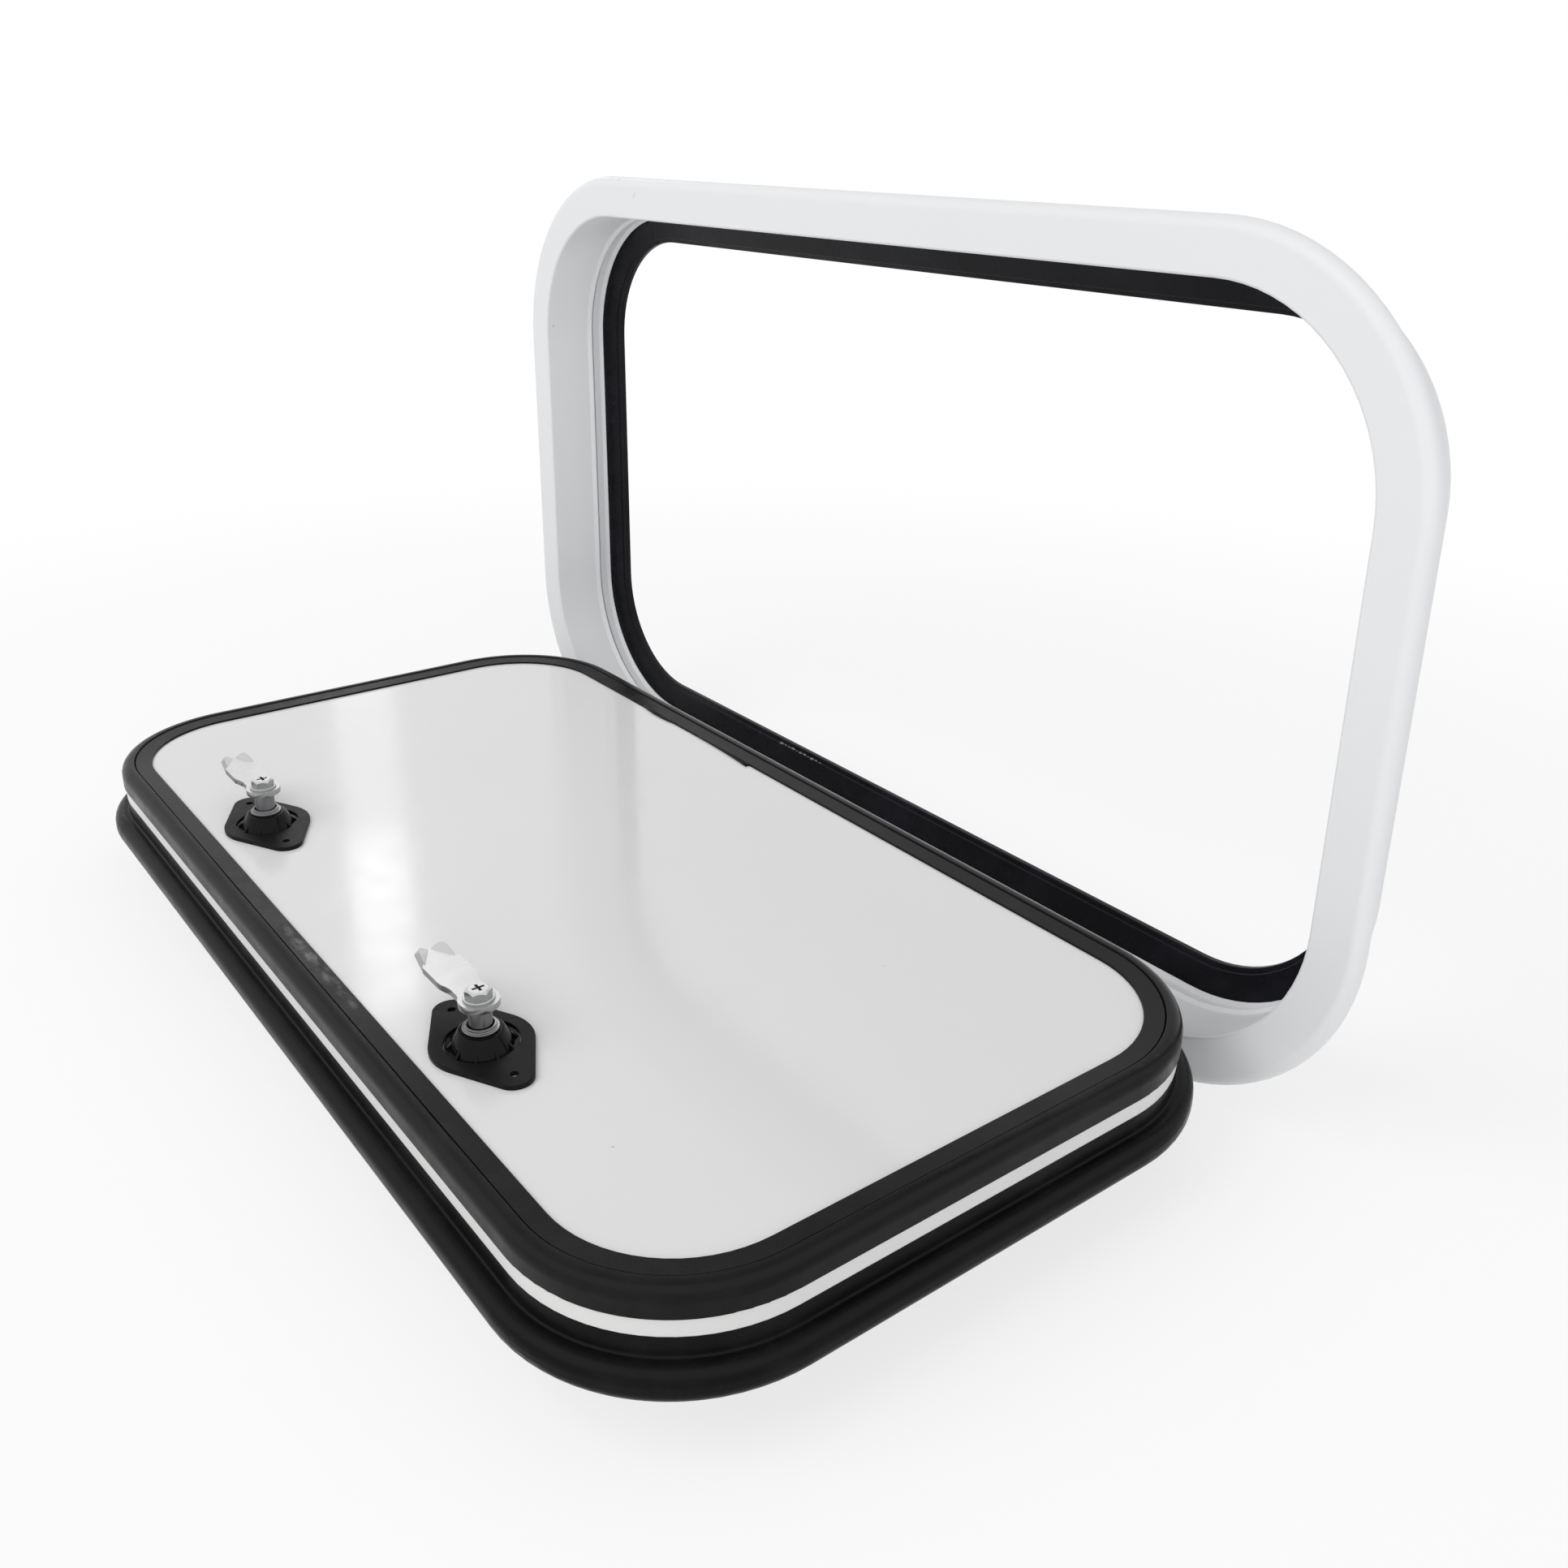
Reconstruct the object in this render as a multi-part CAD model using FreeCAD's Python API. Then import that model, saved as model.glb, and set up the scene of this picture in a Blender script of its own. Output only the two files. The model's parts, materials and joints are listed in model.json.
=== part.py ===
"""Caravan hatch door: a white two-part wall frame with a rubber seal, and an insulated leaf on a long hinge.

The leaf is shown open, lying level in front of the frame with its inner face up. Lengths are in millimetres.
X runs along the hinge, +Y goes into the vehicle and +Z is up. The origin lies on the back of the frame's
bottom flange, where the frame meets the outside of the wall.
"""

import FreeCAD, Part
import math
import os
from FreeCAD import Vector

# Clear opening of the frame
OPENING_WIDTH = 660.0
OPENING_HEIGHT = 354.0
OPENING_RADIUS = 88.0

# Outer ring of the frame: flange and sleeve. Depths are counted from the flange's front face.
FLANGE_WIDTH = 25.0
FLANGE_THICKNESS = 6.5
FLANGE_OUTER_ROUND = 5.8
FLANGE_INNER_ROUND = 1.5
FLANGE_BACK_ROUND = 0.4
SLEEVE_WALL = 2.5
SLEEVE_DEPTH = 36.0
BEAD_WIDTH = 3.2
BEAD_CREST = 0.9
BEAD_RISE = 1.6
BEAD_ROUND = 0.8
BEAD_BACK_ROUND = 0.4

# Inner ring of the frame: clamps over the sleeve from inside and carries the seal on a turned-in lip
RING_JOINT = 1.8
RING_PLAY = 0.2
RING_SKIRT_WALL = 2.0
RING_SKIRT_OVERLAP = 14.0
RING_BAND = 4.8
RING_BAND_SETBACK = 0.4
RING_STEP_RISE = 1.8
RING_STEP_WIDTH = 2.6
RING_STEP_SLOPE = 1.7
RING_RECESS = 0.9
RING_EDGE_ROUND = 0.5
RING_BACK_ROUND = 4.5
LIP_BEHIND_BAND = 5.4
LIP_THICKNESS = 2.0
LIP_REACH = 7.0

# Rubber seal on the inner ring's lip
SEAL_PLAY = 0.15
SEAL_ABOVE_STEP = 0.4
SEAL_RIDGE_REACH = 15.0
SEAL_RIDGE_DEPTH = 0.5
SEAL_STEP = 1.0
SEAL_STEP_RETURN = 0.5
SEAL_REACH = 17.5
SEAL_NOSE_DEPTH = 3.2
SEAL_BACK_WALL = 4.0
SEAL_LEG_END = 2.0
SEAL_ROUND = 0.8
SEAL_FINE_ROUND = 0.4

# Leaf. Heights in the leaf are counted from the face of its outer skin.
LEAF_GAP = 5.0
LEAF_THICKNESS = 39.3
SKIN_THICKNESS = 1.5
EDGE_RUBBER_WIDTH = 25.0
EDGE_WEB_INSET = 12.0
EDGE_WEB_WALL = 2.0
EDGE_RIB_INSET = 8.6
EDGE_RIB_LOW = 21.0
EDGE_RIB_HEIGHT = 8.4
EDGE_RIB_ROUND = 0.8

# Rubber along the inner edge of the leaf
INNER_SEAL_SIDE_INSET = 7.6
INNER_SEAL_CREST = 2.6
INNER_SEAL_ROUND = 5.8
INNER_SEAL_GROOVE_INSET = 15.0
INNER_SEAL_GROOVE_WIDTH = 0.9
INNER_SEAL_GROOVE_FLOOR = 1.1
INNER_SEAL_BAND = 1.9
INNER_SEAL_LIP = 1.2

# Rubber along the outer edge of the leaf
OUTER_SEAL_TOP_INSET = 9.2
OUTER_SEAL_WAIST_INSET = 8.4
OUTER_SEAL_WAIST_HEIGHT = 12.6
OUTER_SEAL_WAIST_ROUND = 1.2
OUTER_SEAL_SHOULDER_DROP = 0.4
OUTER_SEAL_SHOULDER_ROUND = 6.0
OUTER_SEAL_FOOT_ROUND = 6.5
OUTER_SEAL_LIP = 2.2
OUTER_SEAL_LIP_WIDTH = 22.0
RUBBER_EDGE_ROUND = 0.5

# Long hinge along the sill: a rail with a bead on the frame, and a hook on the leaf that turns round the bead
HINGE_BEFORE_FRONT = 1.5
HINGE_ABOVE_SILL = 2.5
LEAF_ABOVE_HINGE = 0.7
HINGE_END_GAP = 7.0
HINGE_WALL = 1.7
HINGE_BEAD_RADIUS = 1.5
HINGE_BEAD_PLAY = 0.2
HINGE_WEB = 1.6
RAIL_WIDTH = 12.0
RAIL_SETBACK = 1.8
HOOK_WALL = 1.2
HOOK_FROM = 110.0
HOOK_SWEEP = 175.0
HOOK_PLATE_HEIGHT = 10.5

# Compression latches
LATCH_SPACING = 264.0
LATCH_EDGE_INSET = 54.0
PLATE_MIDDLE_RADIUS = 22.5
PLATE_END_RADIUS = 8.5
PLATE_SCREW_SPACING = 59.0
PLATE_SCREW_RADIUS = 1.9
PLATE_THICKNESS = 2.2
PLATE_EDGE_ROUND = 0.5
SKIRT_RADIUS = 15.8
SKIRT_PLAY = 0.6
SKIRT_HEIGHT = 1.2
BARREL_RADIUS = 13.5
BARREL_PLAY = 0.2
DOME_FOOT_RADIUS = 13.8
DOME_NECK_RADIUS = 12.2
DOME_NECK_HEIGHT = 4.8
DOME_TOP_RADIUS = 9.8
DOME_HEIGHT = 8.5
DOME_TOP_ROUND = 1.6
RIB_COUNT = 10
RIB_THICKNESS = 1.2
RIB_HEIGHT = 4.4
RIB_SETBACK = 0.5
COLLAR_RADIUS = 8.0
COLLAR_FOOT_HEIGHT = 1.3
COLLAR_TOP_RADIUS = 6.8
COLLAR_HEIGHT = 2.7
COLLAR_PLAY = 0.6
SPINDLE_RADIUS = 5.2
SPINDLE_PLAY = 0.1
SPINDLE_RISE = 20.3

# Cam and its bolt
CAM_THICKNESS = 3.0
CAM_EYE_RADIUS = 8.9
CAM_LENGTH = 50.0
CAM_EYE_BLEND = 5.0
CAM_WAIST_WIDTH = 13.6
CAM_WAIST_END = 13.5
CAM_WAIST_BLEND = 12.0
CAM_BLADE_WIDTH = 17.8
CAM_SHOULDER = 20.0
CAM_HORN_LENGTH = 14.0
CAM_NOSE_WIDTH = 2.0
CAM_HORN_ROUND = 3.5
CAM_HORN_ANGLE = 38.0
BOLT_RADIUS = 3.0
BOLT_LENGTH = 14.0
BOLT_PLAY = 0.1
BOLT_WASHER_RADIUS = 6.9
BOLT_WASHER_HEIGHT = 1.1
BOLT_WASHER_ROUND = 0.5
BOLT_HEAD_FLATS = 10.2
BOLT_HEAD_HEIGHT = 3.9
BOLT_HEAD_CHAMFER = 1.2
BOLT_CROWN_RADIUS = 4.3
BOLT_HEAD_TURN = 10.0
BOLT_CROSS_LENGTH = 5.6
BOLT_CROSS_WIDTH = 1.3
BOLT_CROSS_DEPTH = 2.4

# Outside bezel, knob and key plug
BEZEL_RADIUS = 30.0
BEZEL_THICKNESS = 4.0
BEZEL_ROUND = 1.6
KNOB_PLAY = 0.4
KNOB_DISC_RADIUS = 25.0
KNOB_DISC_THICKNESS = 4.0
KNOB_DISC_ROUND = 1.5
KNOB_GRIP_LENGTH = 46.0
KNOB_GRIP_WIDTH = 13.0
KNOB_GRIP_HEIGHT = 19.0
KNOB_GRIP_ROUND = 3.0
KEY_PLUG_RADIUS = 5.0
KEY_PLUG_PLAY = 0.1
KEY_PLUG_DEPTH = 8.0
KEY_PLUG_STAND = 0.4
KEY_SLOT_LENGTH = 6.0
KEY_SLOT_WIDTH = 1.2
KEY_SLOT_DEPTH = 4.0

# Points nearer to each other than this are taken as one
SAME_POINT = 1e-5

# Places worked out from the sizes above
FRONT_FACE_Y = -FLANGE_THICKNESS
SILL_Z = FLANGE_WIDTH / 2
OPENING_CENTRE_Z = SILL_Z + OPENING_HEIGHT / 2
RING_OUTSIDE = SLEEVE_WALL + RING_PLAY + RING_SKIRT_WALL
BAND_DEPTH = SLEEVE_DEPTH + RING_JOINT
BAND_END_DEPTH = BAND_DEPTH + RING_BAND
LIP_DEPTH = BAND_END_DEPTH + LIP_BEHIND_BAND
LIP_BACK_DEPTH = LIP_DEPTH + LIP_THICKNESS
RING_STEP_END_DEPTH = BAND_END_DEPTH + RING_STEP_WIDTH
HINGE_Y = FRONT_FACE_Y - HINGE_BEFORE_FRONT
HINGE_Z = SILL_Z + HINGE_ABOVE_SILL
HINGE_LENGTH = OPENING_WIDTH - 2 * OPENING_RADIUS - 2 * HINGE_END_GAP
LEAF_WIDTH = OPENING_WIDTH - 2 * LEAF_GAP
LEAF_HEIGHT = OPENING_HEIGHT - 2 * LEAF_GAP
LEAF_RADIUS = OPENING_RADIUS - LEAF_GAP
LEAF_REAR_Y = HINGE_Y - LEAF_GAP + HINGE_ABOVE_SILL
LEAF_CENTRE_Y = LEAF_REAR_Y - LEAF_HEIGHT / 2
LEAF_OUTER_Z = HINGE_Z + LEAF_ABOVE_HINGE
PANEL_INSET = EDGE_WEB_INSET + EDGE_WEB_WALL
EDGE_RIB_HIGH = EDGE_RIB_LOW + EDGE_RIB_HEIGHT
LATCH_Y = -LEAF_HEIGHT / 2 + LATCH_EDGE_INSET
DOME_TOP = LEAF_THICKNESS + DOME_HEIGHT
SPINDLE_BORE = SPINDLE_RADIUS + SPINDLE_PLAY
CAM_BASE = LEAF_THICKNESS + SPINDLE_RISE
CAM_TOP = CAM_BASE + CAM_THICKNESS
KNOB_TOP = -BEZEL_THICKNESS - KNOB_PLAY
KNOB_DISC_LOW = KNOB_TOP - KNOB_DISC_THICKNESS
KNOB_LOW = KNOB_DISC_LOW - KNOB_GRIP_HEIGHT


def rounded_wire(points):
    """Closed wire in the XZ plane through (x, z, fillet radius) corners."""
    entries = []
    for i, (x, z, radius) in enumerate(points):
        corner = Vector(x, 0, z)
        if radius == 0:
            entries.append((corner, corner, corner))
            continue
        before = points[i - 1]
        after = points[(i + 1) % len(points)]
        back = (Vector(before[0], 0, before[1]) - corner).normalize()
        ahead = (Vector(after[0], 0, after[1]) - corner).normalize()
        half = back.getAngle(ahead) / 2
        cut = radius / math.tan(half)
        bisector = (back + ahead).normalize()
        middle = corner + bisector * (radius / math.sin(half) - radius)
        entries.append((corner + back * cut, middle, corner + ahead * cut))
    edges = []
    for i, (start, middle, end) in enumerate(entries):
        if not start.isEqual(end, SAME_POINT):
            edges.append(Part.Arc(start, middle, end).toShape())
        following = entries[(i + 1) % len(entries)][0]
        if not end.isEqual(following, SAME_POINT):
            edges.append(Part.LineSegment(end, following).toShape())
    return Part.Wire(edges)


def ring(section, width, height, radius):
    """Section of (outward offset, height, fillet) corners carried round a rounded rectangle in XY."""
    face = Part.Face(rounded_wire(section))
    pieces = []
    for quarter in range(4):
        across, along = (width, height) if quarter % 2 == 0 else (height, width)
        reach = across / 2
        half_run = along / 2 - radius
        start = face.translated(Vector(reach, -half_run, 0))
        end = face.translated(Vector(reach, half_run, 0))
        straight = start.extrude(Vector(0, 2 * half_run, 0))
        corner = end.revolve(Vector(reach - radius, half_run, 0), Vector(0, 0, 1), 90)
        for piece in (straight, corner):
            piece.rotate(Vector(), Vector(0, 0, 1), 90 * quarter)
            pieces.append(piece)
    return pieces[0].multiFuse(pieces[1:]).removeSplitter()


def rounded_plate(width, height, radius, low, high):
    """Flat plate with round corners, centred on the Z axis."""
    corners = [(width / 2, -height / 2, radius), (width / 2, height / 2, radius),
               (-width / 2, height / 2, radius), (-width / 2, -height / 2, radius)]
    return prism(corners, low, high)


def prism(corners, low, high):
    """Upright prism over an outline of (x, y, fillet radius) corners."""
    face = Part.Face(rounded_wire(corners))
    face.rotate(Vector(), Vector(1, 0, 0), -90)
    solid = face.extrude(Vector(0, 0, high - low))
    solid.translate(Vector(0, 0, low))
    return solid


def box(x_low, x_high, y_low, y_high, z_low, z_high):
    """Block between two corners."""
    return Part.makeBox(x_high - x_low, y_high - y_low, z_high - z_low, Vector(x_low, y_low, z_low))


def cylinder(radius, low, high, x=0.0, y=0.0):
    """Upright cylinder between two heights."""
    return Part.makeCylinder(radius, high - low, Vector(x, y, low))


def turned(profile):
    """Solid of revolution about Z from (radius, height, fillet) corners."""
    return Part.Face(rounded_wire(profile)).revolve(Vector(), Vector(0, 0, 1), 360)


def frame_ring(section):
    """Ring round the opening, upright in the wall, from (outward offset, depth behind the front, fillet)."""
    flat = [(offset, FLANGE_THICKNESS - depth, fillet) for offset, depth, fillet in section]
    shape = ring(flat, OPENING_WIDTH, OPENING_HEIGHT, OPENING_RADIUS)
    shape.rotate(Vector(), Vector(1, 0, 0), 90)
    shape.translate(Vector(0, 0, OPENING_CENTRE_Z))
    return shape


def in_leaf(shape):
    """Sets a shape made about the leaf's centre, with the outer skin's face at height 0, into the leaf."""
    return shape.translated(Vector(0, LEAF_CENTRE_Y, LEAF_OUTER_Z))


def leaf_ring(section):
    """Ring round the leaf from (inset from the leaf's outermost edge, height, fillet)."""
    outward = [(-inset, height, fillet) for inset, height, fillet in section]
    return in_leaf(ring(outward, LEAF_WIDTH, LEAF_HEIGHT, LEAF_RADIUS))


def frame_outer_ring():
    """Flange with a round outer edge, and the sleeve that lines the cut-out and ends in a sloped bead."""
    bead_depth = SLEEVE_DEPTH - BEAD_WIDTH
    crest_depth = SLEEVE_DEPTH - BEAD_CREST
    return frame_ring([
        (0, 0, FLANGE_INNER_ROUND), (FLANGE_WIDTH, 0, FLANGE_OUTER_ROUND),
        (FLANGE_WIDTH, FLANGE_THICKNESS, FLANGE_BACK_ROUND), (SLEEVE_WALL, FLANGE_THICKNESS, 0),
        (SLEEVE_WALL, SLEEVE_DEPTH, 0), (-BEAD_RISE, SLEEVE_DEPTH, BEAD_BACK_ROUND),
        (-BEAD_RISE, crest_depth, BEAD_ROUND), (0, bead_depth, 0),
    ])


def frame_inner_ring():
    """Ring that slips over the sleeve's end: a band in the reveal, a sloped step, and a lip for the seal."""
    skirt_start = BAND_DEPTH - RING_SKIRT_OVERLAP
    skirt_inside = SLEEVE_WALL + RING_PLAY
    return frame_ring([
        (RING_BAND_SETBACK, BAND_DEPTH, RING_EDGE_ROUND), (RING_BAND_SETBACK, BAND_END_DEPTH, 0),
        (-RING_STEP_RISE, BAND_END_DEPTH + RING_STEP_SLOPE, RING_EDGE_ROUND),
        (-RING_STEP_RISE, RING_STEP_END_DEPTH, RING_EDGE_ROUND),
        (RING_RECESS, RING_STEP_END_DEPTH, 0), (RING_RECESS, LIP_DEPTH, 0),
        (-LIP_REACH, LIP_DEPTH, RING_EDGE_ROUND), (-LIP_REACH, LIP_BACK_DEPTH, RING_EDGE_ROUND),
        (RING_OUTSIDE, LIP_BACK_DEPTH, RING_BACK_ROUND), (RING_OUTSIDE, skirt_start, RING_EDGE_ROUND),
        (skirt_inside, skirt_start, RING_EDGE_ROUND), (skirt_inside, BAND_DEPTH, 0),
    ])


def frame_seal():
    """Rubber pushed over the lip: a sloping face, a ridge and step, a round nose and a leg behind the lip."""
    foot = RING_RECESS - SEAL_PLAY
    foot_depth = RING_STEP_END_DEPTH + SEAL_PLAY
    ridge_depth = LIP_DEPTH + SEAL_RIDGE_DEPTH
    step_depth = ridge_depth + SEAL_STEP
    back_depth = LIP_BACK_DEPTH + SEAL_BACK_WALL
    slot_end = -LIP_REACH - SEAL_PLAY
    return frame_ring([
        (foot, foot_depth, 0), (-RING_STEP_RISE - SEAL_ABOVE_STEP, foot_depth, SEAL_FINE_ROUND),
        (-SEAL_RIDGE_REACH, ridge_depth, SEAL_FINE_ROUND),
        (-SEAL_RIDGE_REACH + SEAL_STEP_RETURN, step_depth, SEAL_FINE_ROUND),
        (-SEAL_REACH, back_depth - SEAL_NOSE_DEPTH, SEAL_ROUND), (-SEAL_REACH, back_depth, SEAL_ROUND),
        (-SEAL_LEG_END, back_depth, SEAL_ROUND), (-SEAL_LEG_END, LIP_BACK_DEPTH, 0),
        (slot_end, LIP_BACK_DEPTH, 0), (slot_end, LIP_DEPTH, 0), (foot, LIP_DEPTH, 0),
    ])


def along_hinge(face):
    """Carries a section in the YZ plane along the hinge, centred on X = 0."""
    return face.translated(Vector(-HINGE_LENGTH / 2, 0, 0)).extrude(Vector(HINGE_LENGTH, 0, 0))


def polygon(points):
    """Face in the YZ plane through (y, z) corners."""
    corners = [Vector(0, y, z) for y, z in points]
    return Part.Face(Part.makePolygon(corners + corners[:1]))


def hinge_disc(radius):
    """Round face in the YZ plane, centred on the hinge axis."""
    circle = Part.makeCircle(radius, Vector(0, HINGE_Y, HINGE_Z), Vector(1, 0, 0))
    return Part.Face(Part.Wire(circle))


def hinge_rail():
    """Rail on the sill, with a web that carries the hinge bead in front of the flange."""
    front = FRONT_FACE_Y + RAIL_SETBACK
    back = front + RAIL_WIDTH
    top = SILL_Z + HINGE_WALL
    section = polygon([(front, SILL_Z), (back, SILL_Z), (back, top), (front, top),
                       (HINGE_Y, HINGE_Z + HINGE_WEB / 2), (HINGE_Y, HINGE_Z - HINGE_WEB / 2)])
    return along_hinge(section.fuse(hinge_disc(HINGE_BEAD_RADIUS)).removeSplitter().Faces[0])


def hinge_hook():
    """Plate on the back of the leaf, with a hook that wraps the bead from above, in front and below."""
    inside = HINGE_BEAD_RADIUS + HINGE_BEAD_PLAY
    outside = inside + HOOK_WALL
    arcs = []
    ends = []
    for radius in (inside, outside):
        points = []
        for share in (0, 0.5, 1):
            angle = math.radians(HOOK_FROM + share * HOOK_SWEEP)
            points.append(Vector(0, HINGE_Y + radius * math.cos(angle), HINGE_Z + radius * math.sin(angle)))
        arcs.append(Part.Arc(*points).toShape())
        ends.append((points[0], points[2]))
    (inner_start, inner_end), (outer_start, outer_end) = ends
    hook = Part.Face(Part.Wire([arcs[0], Part.LineSegment(inner_end, outer_end).toShape(), arcs[1],
                                Part.LineSegment(outer_start, inner_start).toShape()]))
    front = LEAF_REAR_Y - HINGE_WALL
    plate = polygon([(front, HINGE_Z), (LEAF_REAR_Y, HINGE_Z), (LEAF_REAR_Y, HINGE_Z + HOOK_PLATE_HEIGHT),
                     (front, HINGE_Z + HOOK_PLATE_HEIGHT)])
    return along_hinge(plate).fuse(along_hinge(hook)).removeSplitter()


def panel_layer(low, high):
    """One layer of the insulated panel, with holes for the barrels of the latches."""
    inset = 2 * PANEL_INSET
    layer = rounded_plate(LEAF_WIDTH - inset, LEAF_HEIGHT - inset, LEAF_RADIUS - PANEL_INSET, low, high)
    for side in (-1, 1):
        hole = cylinder(BARREL_RADIUS + BARREL_PLAY, low, high, side * LATCH_SPACING / 2, LATCH_Y)
        layer = layer.cut(hole)
    return in_leaf(layer)


def leaf_edge_profile():
    """White edge extrusion round the panel, with the rib that shows between the two rubbers."""
    return leaf_ring([
        (PANEL_INSET, 0, 0), (EDGE_WEB_INSET, 0, 0), (EDGE_WEB_INSET, EDGE_RIB_LOW, 0),
        (EDGE_RIB_INSET, EDGE_RIB_LOW, EDGE_RIB_ROUND), (EDGE_RIB_INSET, EDGE_RIB_HIGH, EDGE_RIB_ROUND),
        (EDGE_WEB_INSET, EDGE_RIB_HIGH, 0), (EDGE_WEB_INSET, LEAF_THICKNESS, 0),
        (PANEL_INSET, LEAF_THICKNESS, 0),
    ])


def leaf_inner_seal():
    """Rubber over the inner edge: a round crest, a fine groove and a flat lip that laps onto the panel."""
    crest = LEAF_THICKNESS + INNER_SEAL_CREST
    groove = INNER_SEAL_GROOVE_INSET
    return leaf_ring([
        (EDGE_WEB_INSET, EDGE_RIB_HIGH, 0),
        (INNER_SEAL_SIDE_INSET, EDGE_RIB_HIGH, RUBBER_EDGE_ROUND),
        (INNER_SEAL_SIDE_INSET, crest, INNER_SEAL_ROUND),
        (groove, crest, RUBBER_EDGE_ROUND),
        (groove + INNER_SEAL_GROOVE_WIDTH / 2, LEAF_THICKNESS + INNER_SEAL_GROOVE_FLOOR, 0),
        (groove + INNER_SEAL_GROOVE_WIDTH, LEAF_THICKNESS + INNER_SEAL_BAND, 0),
        (EDGE_RUBBER_WIDTH, LEAF_THICKNESS + INNER_SEAL_LIP, RUBBER_EDGE_ROUND),
        (EDGE_RUBBER_WIDTH, LEAF_THICKNESS, 0),
        (EDGE_WEB_INSET, LEAF_THICKNESS, 0),
    ])


def leaf_outer_seal():
    """Rubber over the outer edge: a recessed wall, a crease, a round bulge and a lip under the outer skin."""
    seal = leaf_ring([
        (EDGE_WEB_INSET, EDGE_RIB_LOW, 0),
        (OUTER_SEAL_TOP_INSET, EDGE_RIB_LOW, RUBBER_EDGE_ROUND),
        (OUTER_SEAL_WAIST_INSET, OUTER_SEAL_WAIST_HEIGHT, OUTER_SEAL_WAIST_ROUND),
        (0, OUTER_SEAL_WAIST_HEIGHT - OUTER_SEAL_SHOULDER_DROP, OUTER_SEAL_SHOULDER_ROUND),
        (0, -OUTER_SEAL_LIP, OUTER_SEAL_FOOT_ROUND),
        (OUTER_SEAL_LIP_WIDTH, -OUTER_SEAL_LIP, RUBBER_EDGE_ROUND),
        (OUTER_SEAL_LIP_WIDTH, 0, 0),
        (EDGE_WEB_INSET, 0, 0),
    ])
    return seal.cut(hinge_hook())


def latch_plate():
    """Back plate of the latch: a round middle drawn out to two rounded ends with a screw hole each."""
    reach = PLATE_SCREW_SPACING / 2
    tangent = math.acos((PLATE_MIDDLE_RADIUS - PLATE_END_RADIUS) / reach)
    top = LEAF_THICKNESS + PLATE_THICKNESS

    def touch(side, centre, radius, up):
        out = centre + radius * math.cos(tangent)
        return Vector(side * out, up * radius * math.sin(tangent), LEAF_THICKNESS)

    edges = []
    for side in (1, -1):
        end_low = touch(side, reach, PLATE_END_RADIUS, -side)
        end_high = touch(side, reach, PLATE_END_RADIUS, side)
        tip = Vector(side * (reach + PLATE_END_RADIUS), 0, LEAF_THICKNESS)
        middle_near = touch(side, 0, PLATE_MIDDLE_RADIUS, side)
        middle_far = touch(-side, 0, PLATE_MIDDLE_RADIUS, side)
        crown = Vector(0, side * PLATE_MIDDLE_RADIUS, LEAF_THICKNESS)
        next_end = touch(-side, reach, PLATE_END_RADIUS, side)
        edges += [Part.Arc(end_low, tip, end_high), Part.LineSegment(end_high, middle_near),
                  Part.Arc(middle_near, crown, middle_far), Part.LineSegment(middle_far, next_end)]
    outline = Part.Wire([edge.toShape() for edge in edges])
    plate = Part.Face(outline).extrude(Vector(0, 0, PLATE_THICKNESS))
    rim = [edge for edge in plate.Edges if min(vertex.Z for vertex in edge.Vertexes) > LEAF_THICKNESS]
    plate = plate.makeFillet(PLATE_EDGE_ROUND, rim)
    plate = plate.cut(cylinder(SKIRT_RADIUS + SKIRT_PLAY, LEAF_THICKNESS, top))
    for side in (-1, 1):
        plate = plate.cut(cylinder(PLATE_SCREW_RADIUS, LEAF_THICKNESS, top, side * reach))
    return plate


def latch_body():
    """Latch body: a barrel through the panel and a ribbed dome that stands up inside the back plate."""
    base = LEAF_THICKNESS
    skirt = base + SKIRT_HEIGHT
    body = turned([
        (SPINDLE_BORE, 0, 0), (BARREL_RADIUS, 0, 0), (BARREL_RADIUS, base, 0), (SKIRT_RADIUS, base, 0),
        (SKIRT_RADIUS, skirt, 0), (DOME_FOOT_RADIUS, skirt, 0),
        (DOME_NECK_RADIUS, base + DOME_NECK_HEIGHT, 0), (DOME_TOP_RADIUS, DOME_TOP, DOME_TOP_ROUND),
        (SPINDLE_BORE, DOME_TOP, 0),
    ])
    root = (SPINDLE_BORE + DOME_TOP_RADIUS) / 2
    foot = base + SKIRT_HEIGHT / 2
    reach = SKIRT_RADIUS - RIB_SETBACK
    crest = base + RIB_HEIGHT
    fin = Part.Face(rounded_wire([(root, foot, 0), (reach, foot, 0), (reach, skirt, 0),
                                  (DOME_NECK_RADIUS, crest, 0), (root, crest, 0)]))
    fin.translate(Vector(0, -RIB_THICKNESS / 2, 0))
    fin = fin.extrude(Vector(0, RIB_THICKNESS, 0))
    fins = [fin.rotated(Vector(), Vector(0, 0, 1), 360 * i / RIB_COUNT) for i in range(RIB_COUNT)]
    return body.multiFuse(fins).removeSplitter()


def latch_collar():
    """Bright stepped ring on top of the dome, round the spindle."""
    step = DOME_TOP + COLLAR_FOOT_HEIGHT
    top = DOME_TOP + COLLAR_HEIGHT
    bore = SPINDLE_RADIUS + COLLAR_PLAY
    return turned([(bore, DOME_TOP, 0), (COLLAR_RADIUS, DOME_TOP, 0), (COLLAR_RADIUS, step, 0),
                   (COLLAR_TOP_RADIUS, step, 0), (COLLAR_TOP_RADIUS, top, 0), (bore, top, 0)])


def latch_spindle():
    """Steel shaft from the outside knob to the cam, tapped for the cam's bolt."""
    shaft = cylinder(SPINDLE_RADIUS, KNOB_TOP, CAM_BASE)
    return shaft.cut(cylinder(BOLT_RADIUS + BOLT_PLAY, CAM_BASE - BOLT_LENGTH, CAM_BASE))


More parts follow.
